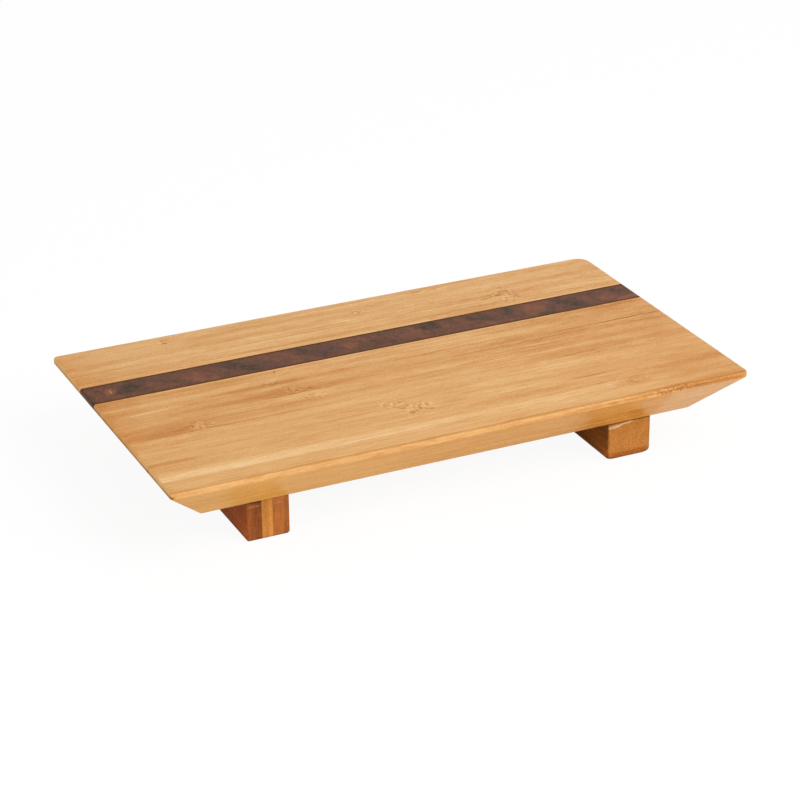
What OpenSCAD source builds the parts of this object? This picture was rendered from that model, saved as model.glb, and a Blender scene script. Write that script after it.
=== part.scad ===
// Sushi geta board: a solid bamboo board with a dark wood strip let into it, on two cross feet.
// The origin is on the table under the middle of the board. +X runs along the board, +Y to its
// back, where the dark strip lies, and +Z up.

/* [Board] */
// Length of the board
board_length = 270; // [210:5:400]
// Width of the board from front to back
board_width = 150; // [130:5:220]
// Thickness of the board
board_thickness = 21.5; // [18:0.5:30]
// Height of the upright lip between the top face and the bevel, along the front and back
lip_height = 2.5; // [2:0.25:5]
// Height of the same lip at the two ends
end_lip_height = 2.5; // [1.5:0.25:5]
// How far the bevel under the lip runs in from each side
bevel_run = 19; // [8:1:24]
// Corner radius of the board, seen from above, at three of its corners
corner_radius = 2; // [1.5:0.5:8]
// Radius of the rounder corner at the right end of the back edge
back_right_corner_radius = 6.5; // [1.5:0.5:12]
// Radius of the rounded edge round the top face
top_edge_radius = 0.6; // [0.3:0.1:1.2]

/* [Dark strip] */
// Width of the dark strip
strip_width = 18; // [8:1:30]
// Distance from the back edge of the board to the dark strip
strip_inset = 38; // [30:1:50]

/* [Feet] */
// Height of both feet
foot_height = 18.5; // [12:0.5:30]
// Width of the left foot
left_foot_width = 19.5; // [16:0.5:26]
// Width of the right foot
right_foot_width = 21.5; // [16:0.5:26]
// Distance from the left end of the board's underside to the outer side of the left foot
left_foot_inset = 20; // [5:0.5:40]
// Distance from the right end of the board's underside to the outer side of the right foot
right_foot_inset = 19; // [5:0.5:40]
// Radius of the left foot's edges
left_foot_edge_radius = 1.6; // [0.4:0.1:2.5]
// Radius of the right foot's edges
right_foot_edge_radius = 1.7; // [0.4:0.1:2.5]

/* [Screws] */
// Thread diameter of the wood screws
screw_diameter = 4; // [3:0.5:5]
// How far the screws reach into the board
screw_bite = 16; // [8:1:17]
// Diameter of the pan heads
head_diameter = 8; // [7:0.5:9]
// Height of the pan heads
head_height = 2.6; // [2:0.1:3]
// Depth of the counterbore that a head sits in
counterbore_depth = 4.5; // [3.5:0.5:8]
// Distance from the end of a foot to its nearest screw
screw_inset = 11.5; // [8:0.5:30]

/* [Hidden] */
// Smoothness of the rounds
$fn = 64;
// How far a cut runs past what it cuts
overrun = 1;

// Glue joints of the back panel, as shares of its width, from the back edge to the dark strip
back_joint_shares = [0, 0.2, 0.425, 0.67, 0.91, 1];
// Glue joints of the front panel, as shares of its width, from the dark strip to the front edge
front_joint_shares = [0, 0.095, 0.185, 0.27, 0.365, 0.455, 0.55, 0.63, 0.72, 0.8, 0.89, 1];
// Glue joints of the left foot, as shares of its width, from its outer side
foot_joint_shares = [0, 0.35, 0.605, 1];

// Length and width of the board's underside, inside the bevels
under_length = board_length - 2 * bevel_run;
under_width = board_width - 2 * bevel_run;

// Dark strip and the two panels, from the back edge to the front edge
back_y = board_width / 2;
strip_back_y = back_y - strip_inset;
strip_front_y = strip_back_y - strip_width;
front_panel_width = strip_front_y + board_width / 2;

// Screws: a domed pan head with a cross recess, a plain shank, the thread's envelope and a tip
shank_diameter = screw_diameter * 0.75;
tip_flat_diameter = screw_diameter * 0.15;
tip_length = screw_diameter * 1.1;
head_dome_radius = head_diameter * 0.75;
recess_length = head_diameter * 0.52;
recess_width = head_diameter * 0.14;
recess_depth = head_height * 0.62;
// Radial gaps round the thread, the shank and the head
thread_gap = 0.05;
shank_gap = 0.3;
head_gap = 0.7;
// How far below the board the thread starts
thread_lead = 2;
shank_length = foot_height - counterbore_depth - thread_lead;
screw_length = foot_height - counterbore_depth + screw_bite;
tip_z = foot_height + screw_bite;
screw_y = under_width / 2 - screw_inset;
left_foot_x = -under_length / 2 + left_foot_inset + left_foot_width / 2;
right_foot_x = under_length / 2 - right_foot_inset - right_foot_width / 2;

back_staves = len(back_joint_shares) - 1;
front_staves = len(front_joint_shares) - 1;
foot_layers = ["outer", "middle", "inner"];

// Colours
bamboo_color = "#e1af76";
dark_wood_color = "#5f4137";
foot_layer_colors = ["#8c4b28", "#cd823c", "#b46232"];
right_foot_color = "#c3783c";
screw_color = "silver";

// The board's cross-section over one span: flat underside, bevels, upright lips, rounded top edges
module board_section(span, lip) {
    half = span / 2;
    polygon([
        [-half + bevel_run, 0],
        [half - bevel_run, 0],
        [half, board_thickness - lip],
        [half, board_thickness - top_edge_radius],
        [-half, board_thickness - top_edge_radius],
        [-half, board_thickness - lip]
    ]);
    translate([0, board_thickness - top_edge_radius / 2])
        square([span - 2 * top_edge_radius, top_edge_radius], center = true);
    for (side = [-1, 1])
        translate([side * (half - top_edge_radius), board_thickness - top_edge_radius])
            circle(top_edge_radius);
}

// What is milled away outside a rounded corner at +X +Y
module corner_waste(radius) {
    difference() {
        translate([board_length / 2 - radius, board_width / 2 - radius, -overrun])
            cube([radius + overrun, radius + overrun, board_thickness + 2 * overrun]);
        translate([board_length / 2 - radius, board_width / 2 - radius, 0])
            rotate_extrude() {
                translate([0, -2 * overrun])
                    square([radius, board_thickness - top_edge_radius + 2 * overrun]);
                square([radius - top_edge_radius, board_thickness]);
                translate([radius - top_edge_radius, board_thickness - top_edge_radius])
                    circle(top_edge_radius);
            }
    }
}

// Pilot holes that the four screws bite into
module pilot_holes() {
    for (x = [left_foot_x, right_foot_x], side = [-1, 1])
        translate([x, side * screw_y, 0])
            cylinder(d = screw_diameter + 2 * thread_gap, h = tip_z + thread_gap);
}

// The whole board as it is milled after gluing up, with its screw holes
module board_blank() {
    difference() {
        translate([0, 0, foot_height])
            difference() {
                intersection() {
                    rotate([90, 0, 0])
                        linear_extrude(board_width + 2 * overrun, center = true)
                            board_section(board_length, end_lip_height);
                    rotate([90, 0, 90])
                        linear_extrude(board_length + 2 * overrun, center = true)
                            board_section(board_width, lip_height);
                }
                corner_waste(back_right_corner_radius);
                for (flip = [[1, 0, 0], [0, 1, 0]])
                    mirror(flip)
                        corner_waste(corner_radius);
                mirror([1, 0, 0])
                    mirror([0, 1, 0])
                        corner_waste(corner_radius);
            }
        pilot_holes();
    }
}

// The length of board between two glue joints
module board_slice(y_front, y_back) {
    intersection() {
        board_blank();
        translate([-board_length / 2 - overrun, y_front, 0])
            cube([board_length + 2 * overrun, y_back - y_front, foot_height + board_thickness + overrun]);
    }
}

// The outermost slices run past the edge, so that the blank's own side ends them
module back_stave(i) {
    y_back = back_y - strip_inset * back_joint_shares[i - 1] + (i == 1 ? overrun : 0);
    y_front = back_y - strip_inset * back_joint_shares[i];
    color(bamboo_color)
        board_slice(y_front, y_back);
}

module dark_strip() {
    color(dark_wood_color)
        board_slice(strip_front_y, strip_back_y);
}

module front_stave(i) {
    past_edge = i == front_staves ? overrun : 0;
    y_back = strip_front_y - front_panel_width * front_joint_shares[i - 1];
    y_front = strip_front_y - front_panel_width * front_joint_shares[i] - past_edge;
    color(bamboo_color)
        board_slice(y_front, y_back);
}

// A foot's section across one axis, flat on top and rounded at its two lower corners
module foot_section(width, radius) {
    translate([0, (foot_height + radius) / 2])
        square([width, foot_height - radius], center = true);
    translate([0, radius / 2])
        square([width - 2 * radius, radius], center = true);
    for (side = [-1, 1])
        translate([side * (width / 2 - radius), radius])
            circle(radius);
}

// A foot's outline seen from above, rounded at its four corners
module foot_plan(width, radius) {
    square([width - 2 * radius, under_width], center = true);
    square([width, under_width - 2 * radius], center = true);
    for (sx = [-1, 1], sy = [-1, 1])
        translate([sx * (width / 2 - radius), sy * (under_width / 2 - radius)])
            circle(radius);
}

// Clearance hole and counterbore for one screw, up through a foot
module foot_screw_hole() {
    translate([0, 0, -overrun])
        cylinder(d = screw_diameter + 2 * shank_gap, h = foot_height + 2 * overrun);
    translate([0, 0, -overrun])
        cylinder(d = head_diameter + 2 * head_gap, h = counterbore_depth + overrun);
}

// One foot, centred across the board, with its two screw holes
module foot_blank(width, radius) {
    difference() {
        intersection() {
            linear_extrude(foot_height)
                foot_plan(width, radius);
            rotate([90, 0, 0])
                linear_extrude(under_width + 2 * overrun, center = true)
                    foot_section(width, radius);
            rotate([90, 0, 90])
                linear_extrude(width + 2 * overrun, center = true)
                    foot_section(under_width, radius);
        }
        for (side = [-1, 1])
            translate([0, side * screw_y, 0])
                foot_screw_hole();
    }
}

// One glued layer of the left foot; layer 0 is the outer one
module left_foot_layer(layer) {
    x_from = left_foot_width * (foot_joint_shares[layer] - 0.5);
    x_to = left_foot_width * (foot_joint_shares[layer + 1] - 0.5);
    color(foot_layer_colors[layer])
        translate([left_foot_x, 0, 0])
            intersection() {
                foot_blank(left_foot_width, left_foot_edge_radius);
                translate([x_from, -under_width / 2 - overrun, -overrun])
                    cube([x_to - x_from, under_width + 2 * overrun, foot_height + 2 * overrun]);
            }
}

module right_foot() {
    color(right_foot_color)
        translate([right_foot_x, 0, 0])
            foot_blank(right_foot_width, right_foot_edge_radius);
}

// One screw, head down, seated in its counterbore
module wood_screw() {
    head_z = counterbore_depth - head_height;
    difference() {
        intersection() {
            translate([0, 0, head_z])
                cylinder(d = head_diameter, h = head_height);
            translate([0, 0, head_z + head_dome_radius])
                sphere(head_dome_radius);
        }
        for (turn = [0, 90])
            rotate(turn)
                translate([-recess_length / 2, -recess_width / 2, head_z - overrun])
                    cube([recess_length, recess_width, recess_depth + overrun]);
    }
    translate([0, 0, counterbore_depth])
        cylinder(d = shank_diameter, h = shank_length);
    translate([0, 0, counterbore_depth + shank_length])
        cylinder(d = screw_diameter, h = screw_length - shank_length - tip_length);
    translate([0, 0, tip_z - tip_length])
        cylinder(d1 = screw_diameter, d2 = tip_flat_diameter, h = tip_length);
}

module foot_screws() {
    color(screw_color)
        for (x = [left_foot_x, right_foot_x], side = [-1, 1])
            translate([x, side * screw_y, 0])
                wood_screw();
}

for (i = [1 : back_staves])
    back_stave(i);
dark_strip();
for (i = [1 : front_staves])
    front_stave(i);
for (layer = [0 : len(foot_layers) - 1])
    left_foot_layer(layer);
right_foot();
foot_screws();
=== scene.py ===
# Sushi geta board: a bamboo board with a dark wood strip, standing on two cross feet. The packed
# model gives the sizes, and this script gives each piece its finished form and its wood.
import math
from dataclasses import dataclass

import bmesh
import bpy
from mathutils import Matrix, Vector


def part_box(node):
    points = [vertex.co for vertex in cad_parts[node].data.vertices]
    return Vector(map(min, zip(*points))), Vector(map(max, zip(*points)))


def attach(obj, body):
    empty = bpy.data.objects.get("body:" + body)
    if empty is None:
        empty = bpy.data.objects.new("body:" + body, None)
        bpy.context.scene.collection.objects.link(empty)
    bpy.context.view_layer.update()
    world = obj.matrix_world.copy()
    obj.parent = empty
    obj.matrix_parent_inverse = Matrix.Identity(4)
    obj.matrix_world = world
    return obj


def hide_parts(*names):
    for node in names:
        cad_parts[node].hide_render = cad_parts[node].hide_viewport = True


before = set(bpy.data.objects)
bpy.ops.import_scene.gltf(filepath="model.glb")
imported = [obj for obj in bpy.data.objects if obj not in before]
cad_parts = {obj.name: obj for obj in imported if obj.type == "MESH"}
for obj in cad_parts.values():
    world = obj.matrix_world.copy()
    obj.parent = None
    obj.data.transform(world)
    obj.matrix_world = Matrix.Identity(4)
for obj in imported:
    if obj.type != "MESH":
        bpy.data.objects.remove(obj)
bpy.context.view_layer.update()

MM = 0.001

# The photograph's viewpoint: angles in degrees, everything else in millimetres
AZIMUTH = -25.041
ELEVATION = 25.117
ROLL = -0.4665
LENS = 114.867
SENSOR = 36
AIM = (-2.2, -6.4, 25.6)
DISTANCE = 1128.18

# The board's edges and corners, in millimetres. The corners go round from the back right one.
CORNER_RADII = (6.5, 2, 2, 3.4)
TOP_EDGE_RADIUS = 0.6
END_EDGE_RADIUS = 1.0
LIP_HEIGHT = 2.5
LIP_ARRIS_RADIUS = 0.5
LOWER_ARRIS_RADIUS = 0.6
MITRE_RADIUS = 0.4
CORNER_STEPS = 8
ARC_STEPS = 5
# Rings closer together than this are made one
LEAST_RISE = 0.03

# The feet: radii of their lower, upright and upper edges, and how much the upright one grows for
# each millimetre that the lower rounding stands back
LEFT_FOOT_RADII = (1.6, 1.0, 0.25, -0.6)
RIGHT_FOOT_RADII = (2.8, 1.0, 0.7, 0.9)
LEAST_RADIUS = 0.15

# Holes for the screws
COUNTERBORE_RADIUS = 4.7
COUNTERBORE_DEPTH = 4.5
CLEARANCE_RADIUS = 2.3
PILOT_RADIUS = 2.05
HOLE_STEPS = 48

# The screws. The head's dome has a radius of this many head radii.
HEAD_HEIGHT = 2.6
HEAD_DOME_SHARE = 1.5
HEAD_RIM_RADIUS = 0.25
HEAD_STEPS = 8
SHANK_RADIUS = 1.5
SHANK_FILLET = 0.3
THREAD_START = 12
THREAD_RUNOUT = 0.6
THREAD_RADIUS = 1.95
CORE_RADIUS = 1.35
PITCH = 1.8
# How much of the pitch a thread's flanks take, and the height of one ring of the mesh
CREST_SHARE = 0.55
THREAD_RISE = 0.2
TIP_LENGTH = 4.4
RECESS_LENGTH = 4.2
RECESS_WIDTH = 1.15
RECESS_DEPTH = 1.7
SCREW_STEPS = 32
# How far each screw is turned from the one before, in radians
SCREW_TURN = 0.7

SHARP_ANGLE = math.radians(32)
BACK_STAVES = 5
FRONT_STAVES = 11


def srgb(red, green, blue):
    """A colour as a screen writes it, from 0 to 255, as the linear colour that shaders take."""
    def linear(level):
        level /= 255
        return level / 12.92 if level <= 0.04045 else ((level + 0.055) / 1.055) ** 2.4
    return (linear(red), linear(green), linear(blue), 1)


# Values on a surface, so that a material reads as arithmetic

BUMP_DEPTH = 0.02 * MM
# An oval thinner than this would vanish between pixels
LEAST_HALF_WIDTH = 0.35


def operator(operation, turned=False):
    """A method that adds a node for one kind of arithmetic."""
    def method(value, other=0.0):
        first, second = (other, value) if turned else (value, other)
        return value.tree.math(operation, first, second)
    return method


class Value:
    """A number or a colour at each point of a surface. Arithmetic on it adds nodes to its tree."""

    def __init__(self, tree, socket):
        self.tree = tree
        self.socket = socket

    __add__ = __radd__ = operator("ADD")
    __sub__ = operator("SUBTRACT")
    __rsub__ = operator("SUBTRACT", turned=True)
    __mul__ = __rmul__ = operator("MULTIPLY")
    __truediv__ = operator("DIVIDE")
    __abs__ = operator("ABSOLUTE")

    def above(self, low, high):
        """0 below low, 1 above high, and a soft step between. With low over high it falls."""
        ends = {"From Min": low, "From Max": high}
        if low > high:
            ends = {"From Min": high, "From Max": low, "To Min": 1.0, "To Max": 0.0}
        inputs = {"Value": self, **ends}
        return self.tree.add("ShaderNodeMapRange", inputs, interpolation_type="SMOOTHSTEP")


class Tree:
    """The nodes of a material or of the world."""

    def __init__(self, owner, output="ShaderNodeOutputMaterial"):
        owner.use_nodes = True
        self.owner = owner
        self.nodes = owner.node_tree.nodes
        self.links = owner.node_tree.links
        self.nodes.clear()
        self.output = self.nodes.new(output)

    def put(self, kind, inputs, **settings):
        """Adds a node. Inputs are numbers, colours or Values, by socket name or number."""
        node = self.nodes.new(kind)
        for key, value in settings.items():
            setattr(node, key, value)
        for key, value in inputs.items():
            if isinstance(value, Value):
                self.links.new(value.socket, node.inputs[key])
            else:
                node.inputs[key].default_value = value
        return node

    def value(self, node, output=0):
        return Value(self, node.outputs[output])

    def add(self, kind, inputs, output=0, **settings):
        """Adds a node, and gives back what comes out of it."""
        return self.value(self.put(kind, inputs, **settings), output)

    def math(self, operation, first, second):
        return self.add("ShaderNodeMath", {0: first, 1: second}, operation=operation)

    def oval(self, x, y, form, rim=(1.7, 0.2)):
        """1 inside an oval and 0 outside it, with a soft rim.

        Its form is its middle's two places, its length, its width and its turn in degrees.
        """
        middle_x, middle_y, length, width, turn = form
        inputs = {
            "Vector": self.vector(x, y, 0.0),
            "Location": (middle_x, middle_y, 0.0),
            "Rotation": (0.0, 0.0, math.radians(turn)),
            "Scale": (length / 2, max(width / 2, LEAST_HALF_WIDTH), 1.0),
        }
        there = self.add("ShaderNodeMapping", inputs, vector_type="TEXTURE")
        square = self.add("ShaderNodeVectorMath", {0: there, 1: there}, 1, operation="DOT_PRODUCT")
        return square.above(*rim)

    def weigh(self, parts):
        """The sum of pairs of a value and a weight, or 0 where there is none."""
        total = 0.0
        for part, weight in parts:
            total = self.add("ShaderNodeMath", {0: part, 1: weight, 2: total}, operation="MULTIPLY_ADD")
        return total

    def marks(self, x, y, marks, rim=(1.7, 0.2)):
        """The sum of ovals. A mark is an oval's five numbers and its strength."""
        return self.weigh([(self.oval(x, y, mark[:5], rim), mark[5]) for mark in marks])

    def vector(self, x, y, z):
        return self.add("ShaderNodeCombineXYZ", {0: x, 1: y, 2: z})

    def noise(self, x, y, z, detail=2.0, roughness=0.5):
        """Smooth noise round 0, from about -0.5 to 0.5, with features about one unit apart."""
        inputs = {"Vector": self.vector(x, y, z), "Scale": 1.0, "Detail": detail, "Roughness": roughness}
        return self.add("ShaderNodeTexNoise", inputs) - 0.5

    def cells(self, x, y, z):
        """Distance to the nearest of many scattered points, about one unit apart."""
        return self.add("ShaderNodeTexVoronoi", {"Vector": self.vector(x, y, z), "Scale": 1.0})

    def mix(self, share, first, second, blend="MIX"):
        inputs = {0: share, 6: first, 7: second}
        return self.add("ShaderNodeMix", inputs, 2, data_type="RGBA", blend_type=blend)

    def tint(self, share, colour, by):
        """A colour multiplied by another one, as far as the share says."""
        return self.mix(share, colour, by, blend="MULTIPLY")

    def ramp(self, source, stops):
        """A colour from a list of places and colours."""
        node = self.put("ShaderNodeValToRGB", {0: source})
        elements = node.color_ramp.elements
        while len(elements) < len(stops):
            elements.new(0.5)
        for element, (place, colour) in zip(elements, stops):
            element.position = place
            element.color = colour
        return self.value(node)

    def split(self, vector):
        axes = self.put("ShaderNodeSeparateXYZ", {0: vector})
        return [self.value(axes, axis) for axis in range(3)]

    def place(self):
        """Where a point lies in the object's frame, as x, y and z in millimetres."""
        return [value / MM for value in self.split(self.add("ShaderNodeTexCoord", {}, 3))]

    def facing(self):
        """Which way the surface faces, as x, y and z."""
        return self.split(self.add("ShaderNodeNewGeometry", {}, 1))

    def bump(self, height, strength):
        inputs = {"Strength": strength, "Distance": BUMP_DEPTH, "Height": height}
        return self.add("ShaderNodeBump", inputs)

    def finish(self, colour, roughness, normal, gloss=0.5, metallic=0.0):
        inputs = {"Base Color": colour, "Roughness": roughness, "Normal": normal}
        inputs.update({"Specular IOR Level": gloss, "Metallic": metallic})
        return self.show(self.add("ShaderNodeBsdfPrincipled", inputs))

    def show(self, shader):
        """Shows a shader, and gives back what the tree belongs to."""
        self.links.new(shader.socket, self.output.inputs[0])
        return self.owner


def new_tree(name):
    """The tree of a new material."""
    return Tree(bpy.data.materials.new(name))


# Wood

# From the darkest tone, 0, to the lightest, 1
BAMBOO_TONES = (
    (0.0, srgb(152, 82, 16)),
    (0.25, srgb(197, 129, 53)),
    (0.5, srgb(220, 166, 101)),
    (0.75, srgb(236, 192, 134)),
    (1.0, srgb(248, 216, 170)),
)
# What the colour is multiplied by where the wood is at its warmest
WARMTH = (1.0, 0.87, 0.62, 1)
SLANT_WARMTH = (1.0, 0.88, 0.52, 1)
SLANT_GLOSS = -0.03
LIP_GLOSS = -0.05
# Painted warm shade on the feet's sides, where light bounces between the parts
SIDE_SHADE_WARMTH = (1.0, 0.82, 0.38, 1)
# The front lip's faces are paler: partly scraped paler wood, partly a painted sheen
PALE_LIP_AND_SHEEN = srgb(252, 226, 186)
LIP_PALENESS_AND_SHEEN = 0.08
# Painted warm light on the left end's faces, and more on its lip's upper part
LEFT_END_LIGHT_WARMTH = (1.0, 0.90, 0.80, 1)
LEFT_LIP_LIGHT_WARMTH = (1.0, 0.88, 0.68, 1)
LEFT_TOP_WARMTH = (1.0, 0.93, 0.80, 1)
# Painted shade: the far edges' upper roundings go darker and greyer
FAR_EDGE_SHADE_GREY = srgb(178, 150, 118)
# Colour of a painted reflection of the bright floor on the bevel's right part
BEVEL_REFLECTION = srgb(252, 232, 200)
# What the board's edges add to its tone. Besides the bevel's, these are painted shade on the right and back
# edges, and painted light on the left end's rounding, lip top and back part, with painted shade low on that
# lip.
RIGHT_EDGE_SHADE = -0.10
BACK_EDGE_SHADE = -0.06
LEFT_LIP_TOP_LIGHT = 0.24
LEFT_LIP_FOOT_SHADE = -0.08
LEFT_LIP_BACK_LIGHT = 0.13
LEFT_TILT_LIGHT = 0.16
BEVEL = 0.05
# Right of here the bevel is paler, a painted reflection of the bright floor
BEVEL_REFLECTION_START = 96.0
BEVEL_REFLECTION_SHARE = 0.16
BOARD_GLOSS = 0.10
FOOT_GLOSS = 0.03

# How far the noises move on for each slat: along, across and in depth
SEED_STEPS = (173.0, 31.0, 57.0)
# The cane was round, so its layers lie in shallow arcs round this height, with this diameter
ARC_MIDDLE = 29.0
ARC_DIAMETER = 110.0
# How far the fibres stray across the slat, and how far they swirl at a knuckle
WANDER = 1.6
SWIRL = 4.0
# Noises of the grain: sizes along, across and in depth, detail and roughness
GRAIN = {
    "broad": (100, 3.2, 5.0, 1, 0.5),
    "lines": (55, 0.75, 0.9, 2, 0.6),
    "hairs": (38, 0.5, 0.7, 1, 0.5),
    "strokes": (9, 0.85, 1.1, 3, 0.6),
    "fine": (7, 0.26, 0.3, 1, 0.5),
}
# What they add to the tone
GRAIN_WEIGHTS = {
    "broad": 0.27, "lines": 0.33, "strokes": 0.33, "fine": 0.36, "mottle": 0.34, "cloud": 0.23,
    "hairs": -0.08,
}
STREAK_STRENGTH = 1.2
BASE_TONE = 0.51
GLUE_LINE = -0.07
GLUE_LINE_WIDTH = 0.5

# Steps between a face that looks away from an axis and one that looks along it
FACING = (0.6, 0.95)
FORWARD = (0.85, 0.98)
SLANTING = (0.4, 0.6)
# Heights between which the lip's upper part starts
LIP_SPLIT = (38.4, 39.1)

# Streaks that the photograph shows in the bamboo: ends along x, middle along y, width and strength.
# Light marks have a strength above zero and dark ones below it. All lengths are in millimetres.
STREAKS = [
    # Broad zones
    (-150, -50, -8, 44, -0.07), (-70, 70, -6, 40, -0.04), (50, 150, -8, 44, -0.09),
    (55, 150, -50, 34, -0.05), (-140, -133.4, 0, 300, -0.06), (-150, -118, 32, 76, -0.07),
    (-150, -50, 14.5, 9, -0.07), (50, 150, 14.5, 9, -0.08), (105, 150, 14.5, 9, -0.06),
    (-88, -36, 48, 20, 0.04), (-88, -58, -12, 14, 0.05), (-90, 110, -65, 6, 0.05),
    (100, 150, -45, 9, -0.05), (112, 150, -25, 10, -0.05),
    # Paler beside the dark strip
    (-150, 150, 37.5, 0.8, 0.08), (-150, 150, 18.5, 0.8, 0.08),
    # Back panel
    (-150, 150, 50, 0.5, -0.12), (-60, 40, 66.5, 2.4, -0.06), (-130, -30, 58, 3, -0.05),
    (20, 130, 60, 5, 0.03), (-135, 0, 54, 3, 0.05), (-120, 130, 42, 3.4, -0.07),
    (60, 100, 46, 1.4, -0.1),
    # Front panel, from the strip to the front edge
    (-120, -50, 15.6, 1.8, -0.08), (-124, 0, 8.8, 3.5, 0.08), (10, 55, 13.5, 0.8, -0.08),
    (70, 95, 13.5, 4, -0.06), (-84, 0, 4.8, 4, -0.08), (-64, -42, 5, 3.4, -0.04),
    (0, 60, 4.9, 1.6, -0.12), (84, 150, 1, 0.7, -0.14), (96, 150, 1.1, 0.9, -0.12),
    (98, 130, -0.3, 0.7, 0.1), (-126, -102, 1, 1.4, 0.14), (-76, -58, 0.6, 2.4, 0.1),
    (30, 90, -3, 1.5, -0.12), (98, 140, -4.6, 0.8, -0.12), (45, 85, -5.6, 0.6, -0.1),
    (0, 40, -6.4, 1.6, -0.07), (-105, -5, -5.2, 6, -0.07), (-86, -22, -5.4, 4.6, -0.05),
    (-68, -40, -11.5, 5.5, 0.1), (-88, -16, -8.2, 0.6, -0.13), (55, 80, -7.6, 0.9, 0.16),
    (60, 90, -9, 0.6, -0.1), (0, 25, -12.8, 2.2, 0.07), (22, 65, -15, 0.7, 0.1),
    (45, 92, -16.4, 0.8, 0.11), (-150, -76, -14.8, 5, -0.07), (-137, -103, -20.8, 7, -0.1),
    (-114, -103, -20.6, 3, -0.04), (-124, -80, -23.7, 0.6, -0.14), (-100, -36, -24.2, 0.7, -0.08),
    (55, 90, -24.5, 0.8, -0.06), (92, 122, -25, 0.8, 0.07), (-145, 30, -26.8, 4.6, 0.03),
    (-128, -94, -32, 0.8, -0.08), (-106, -79, -40.6, 1, -0.07), (-55, -28, -40.4, 1, -0.1),
    (-140, -115, -47.6, 3, -0.16), (0, 12, -44.5, 4, -0.08), (24, 44, -48, 0.9, -0.14),
    (60, 80, -48, 1, -0.17), (-140, -100, -53, 5, -0.07), (0, 56, -53, 5.4, -0.08),
    (92, 145, -53, 5.4, -0.09), (40, 88, -57, 0.8, -0.16), (-150, -10, -60.6, 7.6, 0.14),
    (-145, -50, -61.2, 4, 0.05), (-20, 70, -61, 6, 0.05), (53, 96, -59.5, 4, 0.08),
    # Front edge and lip
    (-150, 150, -73.5, 1, -0.18), (-150, 150, -74.4, 0.7, -0.08), (70, 145, -73.6, 3.2, -0.12),
    (96, 150, -72.4, 5, -0.11), (40, 150, -75.8, 1.8, -0.18), (100, 150, -62, 22, -0.07),
    (80, 93, -61, 8, -0.1), (-150, 0, -75.8, 1.8, 0.06),
]

# Other marks: middle along x and y, or along x and z, length, width, turn in degrees and strength.
# Knuckles, where the bamboo cane had its joints
KNUCKLES = [
    (8, 61, 9, 9, 0, 0.8), (79, 50, 15, 18, 0, 1.1), (-85, 69, 7, 6, 0, 0.8),
    (46, 70, 12, 4, 0, 0.6), (-59, 5.5, 8, 4, 0, 0.8), (-50, -5, 12, 7, 0, 1),
    (-46, -14, 14, 6, 0, 1), (-101, -20, 12, 9, 0, 1), (-21, -36, 13, 7, 0, 1.1),
    (-11, -43.5, 15, 9, 0, 1.2), (82, -62, 14, 5, 0, 0.8), (38, 40, 12, 4, 0, 0.5),
    (118, -6, 14, 8, 0, 0.5), (94, -75, 22, 3, 0, 0.9),
]

# Short marks in the knuckles
TICKS = [
    (8, 60.6, 5.6, 0.8, 100, -0.15), (10, 61.6, 4.2, 0.7, 80, -0.1), (5, 61.5, 3, 0.7, 110, -0.09),
    (80.3, 57, 3, 1, 100, -0.2), (81.4, 52.2, 4.4, 2, 70, -0.13), (68, 48.6, 7, 0.9, 12, -0.16),
    (76.6, 44, 3, 1, 50, -0.2), (83, 45.2, 4, 0.9, -35, -0.12), (92, 49.8, 10, 0.6, 0, -0.14),
    (-85, 66.8, 3.4, 1.2, 0, -0.26), (-85.6, 70.6, 5, 0.8, 90, -0.12), (42, 71.2, 7, 2, 0, -0.1),
    (50.6, 70.2, 5, 2.6, 0, -0.12), (-52.5, 16.2, 2.8, 0.7, 65, -0.24), (-59.6, 5.4, 6, 1.2, -35, -0.08),
    (-54, -3.6, 4.4, 1, 80, -0.06), (-51.4, -5.4, 4.4, 0.9, 105, -0.06), (-46, -6.2, 7, 2.4, -22, -0.04),
    (-104.6, -19.6, 5, 0.9, 80, -0.12), (-18.6, -41.4, 8, 0.9, -48, -0.16),
    (-15.5, -47.5, 3, 2.4, 90, -0.2), (-7.2, -47.2, 4, 1.3, -30, -0.2), (84, -61.2, 3.4, 2, 50, -0.12),
    (74.6, -64.2, 8, 0.8, 0, -0.12),
]

# Marks on the front lip's face
LIP_MARKS = [
    (91, 38, 1, 2.2, 0, -0.24), (100.2, 38.1, 1.2, 2, 20, -0.24), (104.7, 38.1, 1, 2, -20, -0.16),
    (94, 38.1, 28, 0.9, 0, 0.12), (92, 38.8, 76, 0.6, 0, -0.14), (-110, 37.8, 52, 0.7, 0, -0.07),
    (-134.6, 39.5, 1.6, 1.6, 0, -0.4),
]

# Marks on the front bevel. The broad ones are painted reflection and shade, darker and paler where the bevel
# mirrors the feet and the floor; the narrow ones are lines and specks in the wood.
BEVEL_MARKS_AND_REFLECTIONS = [
    (76, 28, 46, 34, 0, -0.1), (86, 25, 12, 6, -40, -0.1), (70, 31, 22, 1.6, 0, -0.08),
    (-10, 35.8, 140, 1.2, 0, -0.07), (-20, 30.5, 90, 1.6, 0, -0.05), (20, 24, 70, 3, 0, 0.06),
    (-70, 28, 90, 30, 0, 0.08), (-93, 28, 36, 30, 0, 0.03), (-88, 25, 9, 8, 0, -0.06),
    (-112, 21, 34, 4, 0, 0.1), (118, 29, 40, 26, 0, -0.05),
]


def streak_mark(start, stop, middle, width, strength):
    """A streak as a mark like the others."""
    return (start + stop) / 2, middle, stop - start, width, 0, strength * STREAK_STRENGTH


# Colour of painted highlights at the top of the feet's front ends
PALE_HIGHLIGHT = srgb(226, 184, 140)
# What painted shade near the floor multiplies the feet's ends by
BASE_SHADE_RED = (1.0, 0.80, 0.64, 1)


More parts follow.
